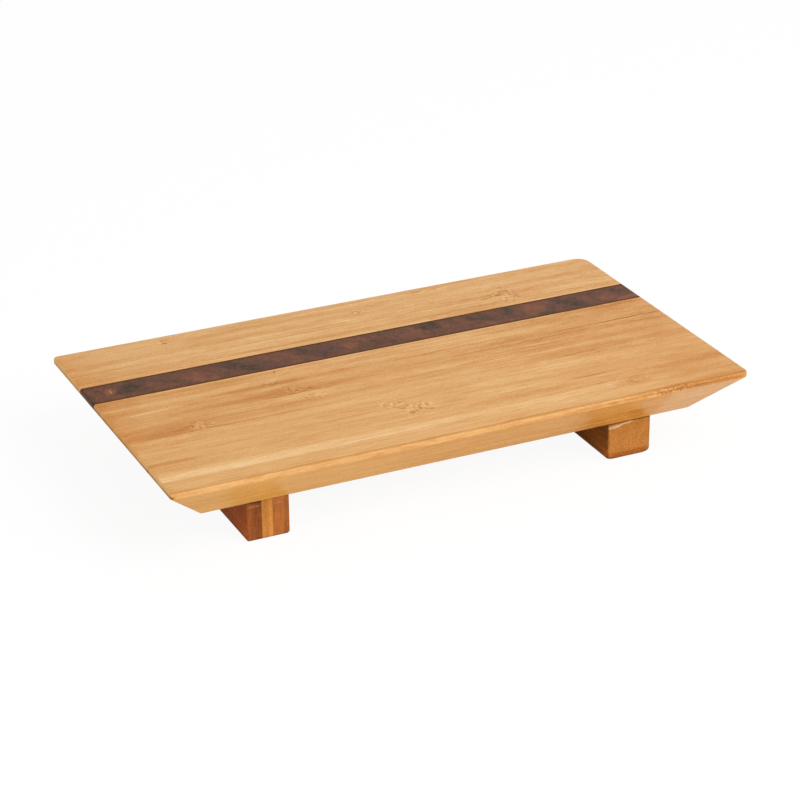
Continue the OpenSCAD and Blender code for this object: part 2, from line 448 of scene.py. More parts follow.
@dataclass
class FootLook:
    """What a foot's faces add to its tone: mostly painted light and shade set by the way each face points.
    """

    # Painted shade on the lower rounding, on the line where a side turns under and on the upright edges; on
    # the side faces, painted light where the value is above 0 and painted shade where it is below
    lower_shade: float = 0.0
    side_shade_line: float = 0.0
    upright_shade: float = 0.0
    side_light_and_shade: float = 0.0
    layering: float = 0.9
    # Painted shade on the ends near the floor, darker and redder; a painted contact shadow along the top of
    # all sides; and the top of the ends
    base_shade: float = 0.0
    base_shade_redness: float = 0.0
    contact_shadow: float = -0.35
    top_shift: float = 0.0
    # Upright lines, bands and speckles on the ends. A band is its middle across, width and strength.
    end_lines: float = 0.0
    bands: tuple = ()
    speckle: float = 0.0
    # Painted highlights: pale patches at the top of the front end
    highlights: tuple = ()
    highlight_share: float = 0.4
    highlight_colour: tuple = PALE_HIGHLIGHT

    def shading(self, tree, grain):
        x, y, z = grain.place
        nx, ny, nz = grain.facing
        outward = abs(nx).above(*FACING)
        end = abs(ny).above(*FACING)
        speck = tree.noise(x / 0.5, y / 3, z / 0.5, roughness=0.6)
        dots = tree.noise(x / 0.6 + 50, y / 3, z / 0.6, detail=1).above(0.0, 0.2)
        upright = tree.noise(x / 0.7, y / 9, z / 9, detail=1)
        layers = tree.noise(x / 3, y / 45, z / 1.3, detail=3)
        # Side faces: the layers in the wood, the side's painted light and shade, and painted shade that
        # deepens towards the top and the back, under the board
        side = self.side_light_and_shade + layers * self.layering - (z - 9.0) * 0.015 - (y + 56.0) * 0.001
        # Painted shade on the lower rounding, where a side turns under and on the upright edges, a painted
        # contact shadow along the top, and painted shade on the ends near the floor
        parts = [
            ((0 - nz).above(0.15, 0.8), self.lower_shade),
            ((0 - nz).above(0.15, 0.5) * abs(nx).above(0.2, 0.5), self.side_shade_line),
            (abs(nx).above(0.15, 0.45) - abs(nx).above(0.75, 0.95), self.upright_shade),
            (z.above(17.6, 18.2), self.contact_shadow),
            (z.above(16.8, 17.4) * end, self.top_shift),
            (z.above(4.6, 3.0) * abs(ny).above(0.3, 0.6), self.base_shade),
            (outward * side, 1.0),
            (end * (speck * 0.7 + dots * 0.10 - 0.03), self.speckle),
            (end * upright, self.end_lines),
        ]
        for band, width, strength in self.bands:
            inside = abs(x - band + grain.ragged * 0.4)
            parts.append((inside.above(width / 2 + 0.5, width / 2 - 0.5), strength))
        return tree.weigh(parts)


@dataclass
class Cut:
    """How one piece of bamboo was cut and what it looks like."""

    low: float
    high: float
    # 1 has the cane's hard rind at the high side and -1 at the low side
    rind: int = 1
    contrast: float = 1.0
    tones: tuple = BAMBOO_TONES
    end_shift: float = 0.06
    end_dots: float = 0.12
    # Marks on the board's front lip and bevel; on the bevel, the broad ones are painted reflection and shade
    lip: tuple = ()
    bevel: tuple = ()
    # Only a foot's piece has this
    foot: FootLook = None


def marks_in(marks, piece, place, reach):
    """The marks that touch a piece. Place and reach say which of a mark's numbers these are."""
    return [m for m in marks if piece.low - m[reach] / 2 < m[place] < piece.high + m[reach] / 2]


class Grain:
    """A slat's surface: where a point lies, which way it faces, and the noises of its wood."""

    def __init__(self, tree, seed, piece):
        self.place = x, y, z = tree.place()
        self.facing = nx, ny, nz = tree.facing()
        self.down = 0 - nz
        self.forward = (0 - ny).above(*FORWARD)
        self.slant = self.down.above(0.02, 0.2) - self.down.above(0.85, 0.95)
        self.end = abs(ny if piece.foot else nx).above(*FACING)
        self.along, self.across = (y, x) if piece.foot else (x, y)
        step_along, step_across, step_depth = [seed * step for step in SEED_STEPS]
        a = self.along + step_along
        self.depth = z + step_depth
        arc = (z - ARC_MIDDLE) * (z - ARC_MIDDLE) / ARC_DIAMETER
        self.wander = tree.noise(a / 40, self.across / 6, self.depth / 9)
        self.ragged = tree.noise(a / 7, self.across / 1.1, self.depth / 1.5)
        c = self.across + arc * piece.rind + self.wander * WANDER + step_across
        self.knotted = 0.0
        knuckles = [] if piece.foot else marks_in(KNUCKLES, piece, 1, 3)
        if knuckles:
            rough = (self.along + self.ragged * 4, self.across + self.ragged * 3)
            self.knotted = tree.marks(*rough, knuckles)
            swirl = tree.noise(self.along / 2.4 + seed, self.across / 2.4, self.depth / 3.2)
            c = c + self.knotted * swirl * SWIRL
        for name, (along, across, depth, *rest) in GRAIN.items():
            setattr(self, name, tree.noise(a / along, c / across, self.depth / depth, *rest))
        self.hairs = self.hairs.above(-0.04, -0.24)
        self.mottle = tree.noise(self.along / 1.2, self.across / 0.7, self.depth / 0.9)
        self.cloud = tree.noise(a / 24, self.across / 8, self.depth / 12)
        self.hue = tree.noise(a / 50 + 9, self.across / 5, self.depth / 9)
        # The cane's fibre bundles: thin rods along the wood, which show as dots on its ends
        self.rods = tree.cells(a / 90, c / 0.8, self.depth / 0.8).above(0.42, 0.12)


def bamboo_tone(tree, grain, piece):
    """How light the wood is before the marks and edges: its grain, fibre bundles and glue lines."""
    middle = (piece.low + piece.high) / 2
    width = piece.high - piece.low
    rind = ((grain.across - middle) * (piece.rind / width)).above(-0.5, 0.6)
    lively = tree.weigh([(getattr(grain, name), weight) for name, weight in GRAIN_WEIGHTS.items()])
    if not piece.foot:
        lively = lively * (0.9 + 0.2 * grain.place[0].above(-50, 50))
    tone = BASE_TONE + lively * piece.contrast - grain.rods * (0.04 + rind * 0.07)
    edge = abs(grain.across - middle) / (width / 2)
    tone = tone + edge.above(1 - GLUE_LINE_WIDTH / width, 1.0) * GLUE_LINE
    return tone + grain.end * piece.end_shift - grain.end * grain.rods * piece.end_dots


def bamboo(name, seed, piece):
    """Bamboo slat on edge. Its grain is solid, so that it runs on over every edge."""
    tree = new_tree(name)
    grain = Grain(tree, seed, piece)
    tone = bamboo_tone(tree, grain, piece)
    if piece.foot:
        tone = tone + piece.foot.shading(tree, grain)
    else:
        tone = tone + board_marks(tree, grain, piece) * (1 - grain.slant * 0.9)
        tone = tone + board_edges(tree, grain, piece)
    colour = tree.tint(grain.hue * 0.5, tree.ramp(tone, piece.tones), WARMTH)
    if piece.foot:
        colour = foot_colour(tree, grain, piece.foot, colour)
        gloss = FOOT_GLOSS
    else:
        colour, gloss = board_colour(tree, grain, colour)
    roughness = 0.26 + grain.lines * 0.10 + grain.mottle * 0.06 + grain.end * 0.2
    normal = tree.bump(grain.lines * 0.5 + grain.fine * 0.4 - grain.rods * 0.5, 0.5)
    return tree.finish(colour, roughness, normal, gloss)


def board_colour(tree, grain, colour):
    """Warmer slanting cuts under the board, painted warm light on its left end, paler lips partly from a
    painted sheen, a painted reflection on the bevel's right part and painted shade that greys the far edges.
    """
    x, y, z = grain.place
    nx, ny, _ = grain.facing
    colour = tree.tint(grain.slant, colour, SLANT_WARMTH)
    # Painted reflection: the bevel's right part is paler where it mirrors the bright floor
    reflected = (x + grain.ragged * 4).above(BEVEL_REFLECTION_START - 2, BEVEL_REFLECTION_START + 4)
    reflected = grain.slant * (0 - ny).above(*SLANTING) * reflected
    colour = tree.mix(reflected * BEVEL_REFLECTION_SHARE, colour, BEVEL_REFLECTION)
    # Paler front lip: partly scraped wood, partly painted sheen
    colour = tree.mix(grain.forward * LIP_PALENESS_AND_SHEEN, colour, PALE_LIP_AND_SHEEN)
    # Painted warm light on the faces that look left
    leftward = (0 - nx).above(0.1, 0.5) * (1 - grain.slant)
    colour = tree.tint(leftward, colour, LEFT_END_LIGHT_WARMTH)
    colour = tree.tint(leftward * z.above(38.8, 39.3), colour, LEFT_LIP_LIGHT_WARMTH)
    leftmost = x.above(-122, -134) * y.above(-34, -24) * (1 - leftward)
    colour = tree.tint(leftmost, colour, LEFT_TOP_WARMTH)
    # Painted shade on the roundings of the right and back edges
    far_edge_shade = tree.math("MAXIMUM", nx, ny).above(0.1, 0.4) * grain.down.above(0.1, -0.1)
    colour = tree.mix(far_edge_shade * 0.5, colour, FAR_EDGE_SHADE_GREY)
    gloss = BOARD_GLOSS + grain.slant * SLANT_GLOSS + grain.forward * LIP_GLOSS - leftward * 0.06
    return colour, gloss


def foot_colour(tree, grain, look, colour):
    """Painted warm shade on the sides, painted red shade on the ends near the floor, and painted pale
    highlights at the top of the front end.
    """
    x, _, z = grain.place
    nx, ny, _ = grain.facing
    # Painted warm shade on the sides
    colour = tree.tint(abs(nx).above(*FACING), colour, SIDE_SHADE_WARMTH)
    # Painted highlights: pale patches at the top of the front end
    rough = (x + grain.ragged * 1.5, z + grain.mottle * 0.9)
    highlighted = tree.marks(*rough, [(*highlight_spot, 1.0) for highlight_spot in look.highlights], (1.4, 0.6))
    highlighted = highlighted * (0 - ny).above(0.5, 0.9)
    share = highlighted * (look.highlight_share + grain.mottle * 1.2 + grain.strokes)
    colour = tree.mix(share, colour, look.highlight_colour)
    # Painted shade on the ends near the floor, darker and redder
    red_shade = z.above(4.8, 3.0) * abs(ny).above(0.3, 0.6) * look.base_shade_redness
    return tree.tint(red_shade, colour, BASE_SHADE_RED)


def board_edges(tree, grain, piece):
    """What the board's lips, bevels and edges add to the tone, and the marks on the front ones."""
    x, y, z = grain.place
    nx, ny, _ = grain.facing
    left = (0 - nx).above(0.25, 0.7)
    front = y.above(-30, -42)
    bevel = grain.down.above(0.3, 0.6)
    # Painted light and shade by the way each face points: lighter on the left end's rounding and lip, darker
    # low on that lip and on the right and back edges
    parts = [
        ((0 - nx).above(0.05, 0.35) * z.above(*LIP_SPLIT), LEFT_TILT_LIGHT),
        (bevel, BEVEL),
        (nx.above(0.1, 0.4), RIGHT_EDGE_SHADE),
        (ny.above(0.1, 0.4), BACK_EDGE_SHADE),
        (left * z.above(*LIP_SPLIT) * (1 + front * 0.5), LEFT_LIP_TOP_LIGHT),
        (left * z.above(*reversed(LIP_SPLIT)) * (1 + front * 1.5), LEFT_LIP_FOOT_SHADE),
        (left * y.above(30, 45), LEFT_LIP_BACK_LIGHT),
    ]
    rough = (x + grain.ragged * 1.2, z + grain.ragged * 0.5)
    front_bevel = bevel * (0 - ny).above(*SLANTING)
    for marks, mask in ((piece.lip, grain.forward), (piece.bevel, front_bevel)):
        if marks:
            parts.append((tree.marks(*rough, marks) * mask, 1.0))
    return tree.weigh(parts)


def board_marks(tree, grain, piece):
    """What streaks, knuckles and short marks add to the tone."""
    along, across, ragged = grain.along, grain.across, grain.ragged
    far = (along + grain.wander * 18, across + grain.wander * 1.2 + ragged * 1.6)
    near = (along + ragged * 1.6, across + ragged * 1.2)
    streaks = [streak_mark(*streak) for streak in marks_in(STREAKS, piece, 2, 3)]
    streaked = tree.marks(*far, streaks, (1.9, 0.1))
    ticked = tree.marks(*near, marks_in(TICKS, piece, 1, 2))
    total = streaked * (1 + (grain.lines + grain.strokes) * 1.8) + ticked * (1.3 + grain.strokes * 1.5)
    curls = tree.noise((along + across * 0.4) / 1.1, across / 2.2, grain.depth / 1.6, detail=1)
    curls = curls.above(-0.2, 0.2) - 0.5
    flecks = tree.noise(along / 1.6, across / 1.2, grain.depth / 1.3, detail=3, roughness=0.65)
    flecks = flecks.above(-0.05, 0.25) - flecks.above(0.05, -0.2)
    return total + grain.knotted * (curls * 0.30 + flecks * 0.15)


STRIP_GLOSS = 0.04
STRIP_TONE = 0.48
STRIP_REDNESS = 0.48
STRIP_EDGE_WIDTH = 1.9
# The light knot and the warm wood round it: middle along x and y, length, width and turn in degrees
KNOT = (-124.1, 28.3, 4.0, 1.0, 80)
KNOT_GLOW = (-124.4, 28.4, 7.0, 5.0, 60)
KNOT_COLOUR = srgb(204, 140, 74)
GLOW_COLOUR = srgb(150, 92, 48)
STRIP_EDGE_COLOUR = srgb(94, 54, 14)
# From greyest to reddest, each at its lightest, and the shades that darken them
STRIP_HUES = [
    (0.0, srgb(108, 80, 60)),
    (0.35, srgb(124, 83, 61)),
    (0.6, srgb(136, 84, 58)),
    (1.0, srgb(156, 97, 60)),
]
STRIP_PURPLE = srgb(120, 74, 72)
STRIP_SHADES = [
    (0.0, (0.18, 0.18, 0.18, 1)),
    (0.5, (0.62, 0.62, 0.62, 1)),
    (1.0, (1.0, 1.0, 1.0, 1)),
]
# Patches in the strip: middle along x and y, length, width, turn in degrees, and how light and how red
PATCHES = [
    (-130.5, 27, 9, 16, 0, -0.12, 0.2), (-114.5, 30, 15, 7, 42, -0.26, -0.5),
    (-101, 28, 10, 14, 0, 0.06, 0.05), (-84, 25.5, 14, 8, -35, 0.22, 0.36),
    (-64, 28.5, 21, 7, -42, -0.22, -0.36), (-53.5, 30, 8, 9, 0, 0.12, 0.05),
    (-42, 24, 12, 8, -35, 0.12, 0.26), (-29.5, 28.5, 17, 5.6, -44, -0.24, -0.3),
    (-19, 27, 8, 12, 0, -0.08, -0.16), (-10.5, 28, 6, 7, 30, 0.26, 0.4),
    (4, 25.5, 12, 6, -30, -0.12, -0.1), (-1, 32, 16, 5, -20, 0.06, 0.16),
    (21, 28, 9, 9, -30, 0.14, 0.14), (31, 31.5, 8, 9, -60, -0.26, -0.6),
    (42, 27, 9, 12, 0, 0.06, 0.14), (55, 30.5, 14, 6, -38, -0.22, -0.24),
    (62, 21.5, 18, 4.6, -8, 0.12, 0.36), (71, 31.5, 4, 7, 0, -0.26, -0.6),
    (84, 29.5, 12, 9, 45, 0.26, 0.34), (86, 21, 10, 4, 0, -0.22, -0.5),
    (102, 28, 16, 8, -48, -0.24, -0.5), (121.5, 26, 8, 9, 40, 0.2, 0.34),
    (129, 21, 10, 5, 20, 0.34, 0.5), (128, 32, 7, 5, 0, -0.14, -0.2),
]


STEEL_TONES = ((0.0, srgb(170, 172, 176)), (1.0, srgb(214, 215, 218)))


def dark_wood(name, low, high):
    """Dark hardwood: patches that slant one way, and fine pores that slant the other."""
    tree = new_tree(name)
    x, y, z = tree.place()
    bend = tree.noise(x / 22, y / 12, z / 14)
    ruffle = tree.noise(x / 5, y / 5, z / 8, detail=3, roughness=0.6)
    s = x * 0.80 + y * 0.60 + bend * 12
    t = y * 0.80 - x * 0.60
    ripple = tree.noise(s / 4.5, t / 16, z / 16, detail=3)
    blotch = tree.noise(x / 3.4, y / 3.0, z / 6, detail=3, roughness=0.6)
    mottle = tree.noise(x / 1.5, y / 1.5, z / 1.5)
    speck = tree.noise(x / 0.6, y / 0.6, z / 0.6, detail=1)
    across = x * 0.90 - y * 0.44
    along = x * 0.44 + y * 0.90
    pores = tree.noise(across / 0.7, along / 9, z / 6).above(-0.25, 0.25) - 0.5
    hairs = tree.noise(across / 0.5, along / 6 + 40, z / 6, detail=1).above(0.12, 0.26)
    combed = tree.noise(x / 26 + 3, y / 20, z / 20, detail=1).above(-0.1, 0.2)
    tone = STRIP_TONE + ripple * 0.44 + blotch * 0.66 + mottle * 0.66 + speck * 0.30
    tone = tone + hairs * combed * 0.14 + pores * (0.03 + combed * 0.25)
    stain = tree.noise(x / 3.2 + 31, y / 3.0, z / 16, detail=4, roughness=0.6)
    red = STRIP_REDNESS + ripple * 0.5 + stain * 1.1
    masks = [tree.oval(x + ruffle * 7, y + ruffle * 5, patch[:5], (2.6, 0.0)) for patch in PATCHES]
    tone = tone + tree.weigh([(mask, patch[5] * 0.85) for mask, patch in zip(masks, PATCHES)])
    red = red + tree.weigh([(mask, patch[6] * 0.6) for mask, patch in zip(masks, PATCHES)])
    brown = tree.ramp(red, STRIP_HUES)
    purple = tree.noise(x / 5 + 77, y / 5, z / 9, detail=3).above(0.0, 0.22)
    brown = tree.mix(purple * 0.5, brown, STRIP_PURPLE)
    colour = tree.tint(1.0, brown, tree.ramp(tone, STRIP_SHADES))
    glow = tree.oval(x + ruffle * 3, y + ruffle * 3, KNOT_GLOW, (1.9, 0.1))
    colour = tree.mix(glow * (0.45 + mottle), colour, GLOW_COLOUR)
    knot = tree.oval(x + ruffle * 1.5, y + ruffle, KNOT, (1.8, 0.1))
    colour = tree.mix(knot * (0.62 + pores * 0.6), colour, KNOT_COLOUR)
    inner = (high - low) / 2 - STRIP_EDGE_WIDTH
    edge = abs(y - (low + high) / 2 + mottle * 0.6).above(inner, inner + 1.0)
    colour = tree.mix(edge * 0.85, colour, STRIP_EDGE_COLOUR)
    normal = tree.bump(pores + ripple * 0.2, 0.1)
    gloss = STRIP_GLOSS - edge * 0.03
    return tree.finish(colour, 0.30 + pores * 0.15, normal, gloss)


def steel(name):
    """Zinc-plated steel."""
    tree = new_tree(name)
    x, y, z = tree.place()
    grain = tree.noise(x / 0.25, y / 0.25, z / 0.25, detail=3)
    cloud = tree.noise(x / 3, y / 3, z / 3)
    colour = tree.ramp(0.5 + cloud, STEEL_TONES)
    roughness = 0.34 + grain * 0.2 + cloud * 0.1
    return tree.finish(colour, roughness, tree.bump(grain, 0.4), metallic=1.0)


def foot_tones(colour):
    """Tones round one colour, from much darker to a little lighter."""
    shares = ((0.0, 0.55), (0.3, 0.82), (0.5, 1.0), (0.8, 1.20), (1.0, 1.36))
    return [(place, srgb(*[min(level * share, 255) for level in colour])) for place, share in shares]


# Shapes

QUARTER = math.pi / 2


def rounded_rectangle(half_x, half_y, radii, z, middle_x=0.0):
    """Points of a level rectangle with round corners, anticlockwise from the back right one."""
    points = []
    for corner, (side_x, side_y) in enumerate([(1, 1), (-1, 1), (-1, -1), (1, -1)]):
        radius = radii[corner]
        for step in range(CORNER_STEPS + 1):
            angle = (corner + step / CORNER_STEPS) * QUARTER
            px = side_x * (half_x - radius) + radius * math.cos(angle)
            py = side_y * (half_y - radius) + radius * math.sin(angle)
            points.append(Vector((px + middle_x, py, z)) * MM)
    return points


def loft(rings):
    """A closed mesh through rings with as many points each."""
    mesh = bmesh.new()
    rows = [[mesh.verts.new(point) for point in ring] for ring in rings]
    count = len(rows[0])
    for low, high in zip(rows, rows[1:]):
        for i in range(count):
            j = (i + 1) % count
            mesh.faces.new((low[i], low[j], high[j], high[i]))
    mesh.faces.new(reversed(rows[0]))
    mesh.faces.new(rows[-1])
    mesh.normal_update()
    return mesh


def arc(radius, start, stop):
    """Steps along an arc, as sine and cosine times the radius. Start and stop are in degrees."""
    angles = [math.radians(start + (stop - start) * i / ARC_STEPS) for i in range(ARC_STEPS + 1)]
    return [(radius * math.sin(angle), radius * math.cos(angle)) for angle in angles]


def side_profile(low, high, run, top_radius):
    """One side of the board from its underside up: heights and how far the side stands back there."""
    lip_low = high - LIP_HEIGHT
    slope = math.degrees(math.atan2(lip_low - low, run))
    below = LOWER_ARRIS_RADIUS * math.tan(math.radians(slope / 2))
    above = LIP_ARRIS_RADIUS * math.tan(math.radians((90 - slope) / 2))
    arcs = (
        (LOWER_ARRIS_RADIUS, 0, slope, low + LOWER_ARRIS_RADIUS, run + below),
        (LIP_ARRIS_RADIUS, slope, 90, lip_low + above, LIP_ARRIS_RADIUS),
        (top_radius, 90, 180, high - top_radius, top_radius),
    )
    return [(z - cosine, inset - sine) for radius, start, stop, z, inset in arcs
            for sine, cosine in arc(radius, start, stop)]


def inset_at(profile, z):
    """How far a side stands back at a height."""
    for (low_z, low_inset), (high_z, high_inset) in zip(profile, profile[1:]):
        if z <= high_z:
            share = (z - low_z) / max(high_z - low_z, 1e-9)
            return low_inset + (high_inset - low_inset) * min(max(share, 0.0), 1.0)
    return profile[-1][1]


def board_rings(half_x, half_y, low, high, run):
    """The board as level rings, with a bevel and a lip on each side and a radius for each corner."""
    side = side_profile(low, high, run, TOP_EDGE_RADIUS)
    end = side_profile(low, high, run, END_EDGE_RADIUS)
    heights = [low]
    for z, _ in sorted(side + end):
        if z - heights[-1] > LEAST_RISE:
            heights.append(z)
    heights[-1] = high
    rings = []
    for z in heights:
        x_inset = inset_at(end, z)
        y_inset = inset_at(side, z)
        radii = [max(radius - (x_inset + y_inset) / 2, MITRE_RADIUS) for radius in CORNER_RADII]
        rings.append(rounded_rectangle(half_x - x_inset, half_y - y_inset, radii, z))
    return rings


def foot_rings(low_x, high_x, half_y, height, foot_radii):
    """A foot from its resting face up: round lower edges, upright sides and a finer rounding on top."""
    middle = (low_x + high_x) / 2
    half_x = (high_x - low_x) / 2
    lower, upright, upper, growth = foot_radii
    levels = [(lower - cosine, lower - sine) for sine, cosine in arc(lower, 0, 90)]
    levels += [(height - upper + sine, upper - cosine) for sine, cosine in arc(upper, 0, 90)]
    rings = []
    for z, inset in levels:
        radii = [max(upright + inset * (growth if z < lower else 0), LEAST_RADIUS)] * 4
        rings.append(rounded_rectangle(half_x - inset, half_y - inset, radii, z, middle))
    return rings


def cut(mesh, place, direction):
    """Cuts away what lies beyond a plane, and closes the cut with one face."""
    whole = mesh.verts[:] + mesh.edges[:] + mesh.faces[:]
    bmesh.ops.bisect_plane(mesh, geom=whole, dist=1e-7, plane_co=place, plane_no=direction, clear_outer=True)
    open_edges = [edge for edge in mesh.edges if edge.is_boundary]
    bmesh.ops.holes_fill(mesh, edges=open_edges, sides=0)
    mesh.normal_update()


def slice_of(mesh, axis, low, high):
    """A copy of the mesh between two planes across an axis. A plane at None cuts nothing."""
    piece = mesh.copy()
    direction = Vector([1.0 if i == axis else 0.0 for i in range(3)])
    if low is not None:
        cut(piece, direction * low, -direction)
    if high is not None:
        cut(piece, direction * high, direction)
    return piece


def write(mesh, data):
    """Writes a mesh with smooth shading, and crisp edges where the surface turns sharply."""
    for face in mesh.faces:
        face.smooth = True
    for edge in mesh.edges:
        if len(edge.link_faces) == 2:
            edge.smooth = edge.calc_face_angle(0) < SHARP_ANGLE
    mesh.to_mesh(data)
    mesh.free()


def add_object(name, mesh):
    data = bpy.data.meshes.new(name)
    write(mesh, data)
    piece = bpy.data.objects.new(name, data)
    bpy.context.scene.collection.objects.link(piece)
    return piece


def subtract(piece, cutter_mesh):
    """Cuts a cutter's shape out of a piece for good."""
    cutter = add_object("cutter", cutter_mesh)
    modifier = piece.modifiers.new("cut", "BOOLEAN")
    modifier.operation = "DIFFERENCE"
    modifier.solver = "EXACT"
    modifier.object = cutter
    graph = bpy.context.evaluated_depsgraph_get()
    data = bpy.data.meshes.new_from_object(piece.evaluated_get(graph))
    piece.modifiers.clear()
    piece.data = data
    bpy.data.objects.remove(cutter)
    mesh = bmesh.new()
    mesh.from_mesh(data)
    write(mesh, data)


def drill(piece, x, y, low, high, radius):
    """Cuts a round upright hole, in millimetres."""
    angles = [2 * math.pi * i / HOLE_STEPS for i in range(HOLE_STEPS)]
    around = [(x + radius * math.cos(angle), y + radius * math.sin(angle)) for angle in angles]
    subtract(piece, loft([[Vector((*point, z)) * MM for point in around] for z in (low, high)]))


def dress(piece, node, material):
    """Gives a piece its material and puts it in the place of a CAD node."""
    piece.data.materials.clear()
    piece.data.materials.append(material)
    normals = piece.modifiers.new("even_shading", "WEIGHTED_NORMAL")
    normals.keep_sharp = True
    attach(piece, "root")
    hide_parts(node)


def span(node):
    """A node's lowest and highest corners in millimetres."""
    low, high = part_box(node)
    return low / MM, high / MM


def screw_places():
    """Where the four screws stand, and the radius of their heads."""
    left = (span("left_foot_outer")[0].x + span("left_foot_inner")[1].x) / 2
    right = (span("right_foot")[0].x + span("right_foot")[1].x) / 2
    low, high = span("foot_screws")
    radius = high.x - right
    side = high.y - radius
    return [(x, y) for x in (left, right) for y in (-side, side)], radius


def stave_cut(number, low, high, run):
    """How a stave was cut. Its grain is liveliest at the back and calmest at the front."""
    contrast = 1.13 if low > 0 else 1.0 if low > -35 else 0.85
    lip = LIP_MARKS if number == BACK_STAVES + FRONT_STAVES else ()
    bevel = BEVEL_MARKS_AND_REFLECTIONS if low < -run else ()
    return Cut(low, high, rind=1 - 2 * (number % 2), contrast=contrast, lip=lip, bevel=bevel)


def build_board():
    """The staves and the dark strip, cut from one milled board."""
    staves = [f"back_stave_{i + 1}" for i in range(BACK_STAVES)]
    staves += ["dark_strip"]
    staves += [f"front_stave_{i + 1}" for i in range(FRONT_STAVES)]
    low, high = span("dark_strip")
    back = span(staves[0])[1].y
    run = back - span("right_foot")[1].y
    board = loft(board_rings(high.x, back, low.z, high.z, run))
    holes, _ = screw_places()
    tip = span("foot_screws")[1].z
    for number, node in enumerate(staves):
        node_low, node_high = span(node)
        first = None if number == len(staves) - 1 else node_low.y * MM
        last = None if number == 0 else node_high.y * MM
        piece = add_object(node + "_wood", slice_of(board, 1, first, last))
        for x, y in holes:
            if node_low.y < y < node_high.y:
                drill(piece, x, y, low.z - 1, tip, PILOT_RADIUS)
        if node == "dark_strip":
            wood = dark_wood("dark_wood_strip", node_low.y, node_high.y)
            dress(piece, node, wood)
        else:
            wood = bamboo("bamboo_" + node, number + 1.0, stave_cut(number, node_low.y, node_high.y, run))
            dress(piece, node, wood)
    board.free()


def drill_foot(piece, low_x, high_x, height):
    """Counterbores and clearance holes for the screws that pass through a piece."""
    bores = ((COUNTERBORE_RADIUS, -1, COUNTERBORE_DEPTH),
             (CLEARANCE_RADIUS, COUNTERBORE_DEPTH - 0.1, height + 1))
    for x, y in screw_places()[0]:
        for radius, low, high in bores:
            if low_x < x + radius and x - radius < high_x:
                drill(piece, x, y, low, high, radius)


# Painted highlights, pale patches on the front end: middle along x and z, length, height and turn in degrees
LEFT_HIGHLIGHTS = {
    "highlights": ((-92.8, 16.3, 5.4, 1, 1), (-81.8, 15.9, 4.4, 1, 1)),
    "highlight_share": 0.3,
    "highlight_colour": srgb(214, 152, 110),
}
# The feet's layers from left to right: their material slots, colours and looks
LEFT_LAYERS = {
    "left_foot_outer": ("foot_brown", (145, 82, 43), FootLook(
        lower_shade=-0.10, side_light_and_shade=0.28, layering=1.0, end_lines=0.45, speckle=0.22,
        bands=((-94.9, 1.8, 0.12), (-90.8, 2.6, -0.08)), **LEFT_HIGHLIGHTS)),
    "left_foot_middle": ("foot_golden", (190, 127, 62), FootLook(
        lower_shade=-0.06, end_lines=0.20, speckle=0.12, contact_shadow=-0.05,
        bands=((-85.1, 1.8, 0.12),), **LEFT_HIGHLIGHTS)),
    "left_foot_inner": ("foot_red", (177, 106, 55), FootLook(
        lower_shade=-0.12, side_light_and_shade=0.1, end_lines=0.25, speckle=0.20, contact_shadow=-0.08, top_shift=0.08,
        bands=((-77.8, 2.4, -0.10),), **LEFT_HIGHLIGHTS)),
}
RIGHT_LAYERS = {
    "right_foot": ("foot_tan", (173, 114, 55), FootLook(
        lower_shade=-0.04, side_shade_line=-0.35, upright_shade=-0.10, side_light_and_shade=-0.11, base_shade=-0.17,
        base_shade_redness=1.0, speckle=1.1, highlights=((78.4, 16.5, 6.4, 1.5, 4), (83.8, 17.4, 8, 0.9, 7)),
        highlight_share=0.72)),
}


def build_foot(layers, foot_radii, seed, **settings):
    """A foot's glued layers, cut from one bar."""
    nodes = list(layers)
    low = span(nodes[0])[0]
    high = span(nodes[-1])[1]
    bar = loft(foot_rings(low.x, high.x, high.y, high.z, foot_radii))
    for number, (node, (slot, colour, look)) in enumerate(layers.items()):
        node_low, node_high = span(node)
        first = None if number == 0 else node_low.x * MM
        last = None if node == nodes[-1] else node_high.x * MM
        piece = add_object(node + "_wood", slice_of(bar, 0, first, last))
        drill_foot(piece, node_low.x, node_high.x, high.z)
        layer = Cut(node_low.x, node_high.x, tones=foot_tones(colour), foot=look, **settings)
        dress(piece, node, bamboo("wood_" + node, number + seed, layer))
    bar.free()


def build_left_foot():
    build_foot(LEFT_LAYERS, LEFT_FOOT_RADII, 31.0, contrast=0.6, end_shift=-0.02, end_dots=0.04)


def build_right_foot():
    """The right foot is one piece, with softer edges."""
    build_foot(RIGHT_LAYERS, RIGHT_FOOT_RADII, 41.0, contrast=0.5, end_shift=0.10, end_dots=0.05)


def thread_share(z, angle):
    """How far a thread's crest rises at a height and angle, from 0 at the core to 1 at the crest."""
    phase = (z / PITCH - angle / (2 * math.pi)) % 1
    return max(0.0, 1 - abs(phase - 0.5) * 2 / CREST_SHARE)


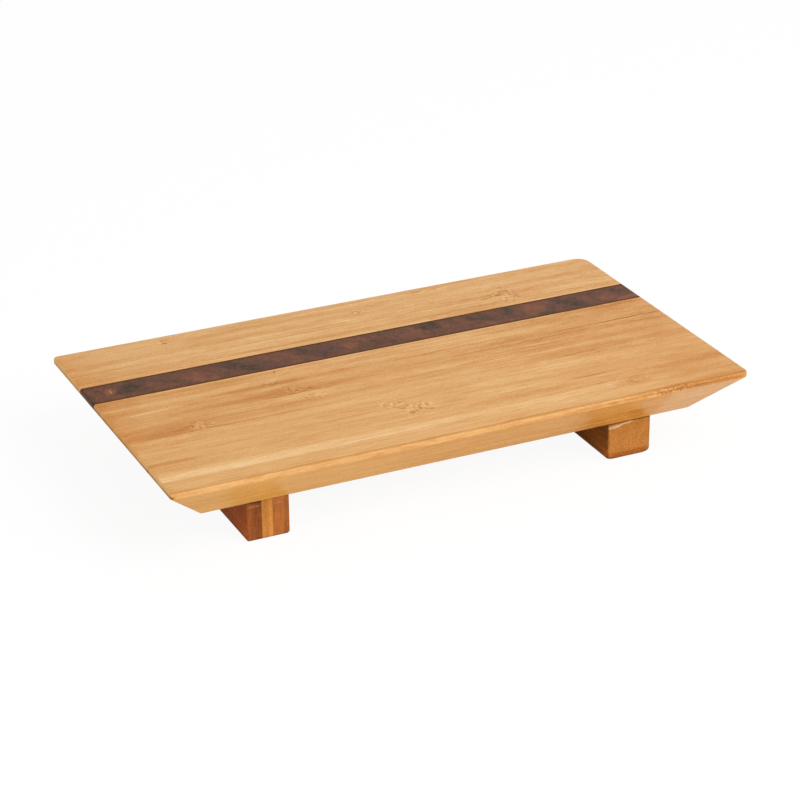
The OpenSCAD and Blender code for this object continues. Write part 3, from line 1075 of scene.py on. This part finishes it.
def screw_mesh(head_radius, seat, tip):
    """One wood screw, head down, as a lathe form with a cut thread."""
    dome = head_radius * HEAD_DOME_SHARE
    bottom = seat - HEAD_HEIGHT
    flat = head_radius - HEAD_RIM_RADIUS
    rings = []

    def add(z, radius, rise=0.0):
        angles = [2 * math.pi * i / SCREW_STEPS for i in range(SCREW_STEPS)]
        radii = [radius + thread_share(z, angle) * rise for angle in angles]
        rings.append([Vector((r * math.cos(t), r * math.sin(t), z)) * MM for r, t in zip(radii, angles)])

    def dome_height(radius):
        return bottom + dome - math.sqrt(dome * dome - radius * radius)

    for i in range(1, HEAD_STEPS + 1):
        add(dome_height(flat * i / HEAD_STEPS), flat * i / HEAD_STEPS)
    for sine, cosine in arc(HEAD_RIM_RADIUS, 0, 90)[1:]:
        add(dome_height(flat) + HEAD_RIM_RADIUS - cosine, flat + sine)
    add(seat, head_radius)
    add(seat, SHANK_RADIUS + SHANK_FILLET)
    add(seat + SHANK_FILLET, SHANK_RADIUS)
    start = seat + THREAD_START
    add(start - THREAD_RUNOUT, SHANK_RADIUS)
    steps = int((tip - start) / THREAD_RISE)
    for i in range(steps):
        z = start + (tip - start) * i / steps
        # The thread grows over its first turn and tapers towards the tip
        growth = min(1.0, i * THREAD_RISE / PITCH)
        taper = min(1.0, (tip - z) / TIP_LENGTH)
        core = CORE_RADIUS * taper + 0.1 * (1 - taper)
        crest = THREAD_RADIUS * min(1.0, taper * 1.1 + 0.05)
        add(z, core, max(0.0, crest - core) * growth)
    return loft(rings)


def recess_mesh(bottom, turn):
    """One arm pair of the cross recess, as a tapered blade."""
    spin = Matrix.Rotation(turn, 3, "Z")
    rings = []
    for z, share in ((bottom - 0.5, 1.15), (bottom + RECESS_DEPTH, 0.45)):
        x = RECESS_LENGTH / 2 * share
        y = RECESS_WIDTH / 2 * (0.4 + 0.6 * share)
        rings.append([spin @ (Vector(corner) * MM) for corner in
                      ((x, y, z), (-x, y, z), (-x, -y, z), (x, -y, z))])
    return loft(rings)


def build_screws():
    """Four wood screws, up through the feet into the board."""
    places, head_radius = screw_places()
    low, high = span("foot_screws")
    seat = low.z + HEAD_HEIGHT
    single = add_object("screw", screw_mesh(head_radius, seat, high.z))
    for turn in (0, QUARTER):
        subtract(single, recess_mesh(low.z, turn))
    group = bmesh.new()
    for number, (x, y) in enumerate(places):
        copy = single.data.copy()
        spin = Matrix.Rotation(SCREW_TURN * number, 4, "Z")
        copy.transform(Matrix.Translation(Vector((x, y, 0)) * MM) @ spin)
        group.from_mesh(copy)
        bpy.data.meshes.remove(copy)
    bpy.data.objects.remove(single)
    piece = add_object("foot_screws_steel", group)
    dress(piece, "foot_screws", steel("zinc_steel"))


# Camera, floor and light

def build_camera():
    """The photograph's viewpoint: azimuth 0 looks along +Y, and roll turns the picture."""
    data = bpy.data.cameras.new("camera")
    data.lens = LENS
    data.sensor_width = SENSOR
    data.clip_start = 0.05
    data.clip_end = 50
    camera = bpy.data.objects.new("camera", data)
    place = Matrix.Translation(Vector(AIM) * MM)
    for angle, axis in ((AZIMUTH, "Z"), (90 - ELEVATION, "X"), (ROLL, "Z")):
        place @= Matrix.Rotation(math.radians(angle), 4, axis)
    camera.matrix_world = place @ Matrix.Translation((0, 0, DISTANCE * MM))
    bpy.context.scene.collection.objects.link(camera)
    bpy.context.scene.camera = camera


WHITE = (1, 1, 1, 1)
FLOOR_GLOW = 0.93
FLOOR_SHADOW = srgb(77, 77, 77)
FLOOR_BOUNCE = (0.88, 0.88, 0.88, 1)
FLOOR_MIRRORED = 0.2
# In metres, and how far below the feet the floor lies, in millimetres
FLOOR_SIZE = 12
FLOOR_GAP = 0.1
WORLD_LIGHT = 0.515
# The key light's direction, distance and size in metres, and power in watts
KEY_DIRECTION = (0.45, -0.85, 0.85)
KEY_DISTANCE = 2.2
KEY_SIZE = 1.4
KEY_POWER = 39


def sight(tree, mirrored_share):
    """1 for what the camera sees, and a share of it for what gloss and glass mirror."""
    path = tree.put("ShaderNodeLightPath", {})
    glossy, clear = [tree.value(path, name) for name in ("Is Glossy Ray", "Is Transmission Ray")]
    mirrored = tree.math("MAXIMUM", glossy, clear) * mirrored_share
    return tree.math("MAXIMUM", tree.value(path, "Is Camera Ray"), mirrored)


def floor_material():
    """White to the camera, with the object's soft shadow, and see-through from below."""
    tree = new_tree("floor")
    glow = tree.add("ShaderNodeEmission", {"Color": WHITE, "Strength": FLOOR_GLOW})
    shadowed = tree.add("ShaderNodeBsdfDiffuse", {"Color": FLOOR_SHADOW})
    shown = tree.add("ShaderNodeAddShader", {0: glow, 1: shadowed})
    bounce = tree.add("ShaderNodeBsdfDiffuse", {"Color": FLOOR_BOUNCE})
    above = tree.add("ShaderNodeMixShader", {0: sight(tree, FLOOR_MIRRORED), 1: bounce, 2: shown})
    clear = tree.add("ShaderNodeBsdfTransparent", {})
    below = tree.add("ShaderNodeNewGeometry", {}, "Backfacing")
    return tree.show(tree.add("ShaderNodeMixShader", {0: below, 1: above, 2: clear}))


def build_floor():
    """One large level face, just under the feet."""
    mesh = bmesh.new()
    half = FLOOR_SIZE / 2
    mesh.faces.new([mesh.verts.new((x, y, -FLOOR_GAP * MM)) for x, y in
                    ((-half, -half), (half, -half), (half, half), (-half, half))])
    floor = add_object("floor", mesh)
    floor.data.materials.append(floor_material())


def build_world():
    """White to the camera and in reflections, and a plain soft light to everything else."""
    world = bpy.data.worlds.new("world")
    tree = Tree(world, "ShaderNodeOutputWorld")
    light = tree.add("ShaderNodeBackground", {"Color": WHITE, "Strength": WORLD_LIGHT})
    white = tree.add("ShaderNodeBackground", {"Color": WHITE, "Strength": 1.0})
    tree.show(tree.add("ShaderNodeMixShader", {0: sight(tree, 1.0), 1: light, 2: white}))
    bpy.context.scene.world = world


def build_light():
    """One square soft light that faces the board, besides the world's."""
    data = bpy.data.lights.new("key", "AREA")
    data.shape = "SQUARE"
    data.size = KEY_SIZE
    data.energy = KEY_POWER
    light = bpy.data.objects.new("key", data)
    towards = Vector(KEY_DIRECTION).normalized()
    light.location = towards * KEY_DISTANCE
    light.rotation_euler = towards.to_track_quat("Z", "Y").to_euler()
    bpy.context.scene.collection.objects.link(light)


build_camera()
build_board()
build_left_foot()
build_right_foot()
build_screws()
build_floor()
build_world()
build_light()
bpy.context.scene.view_settings.view_transform = "Standard"
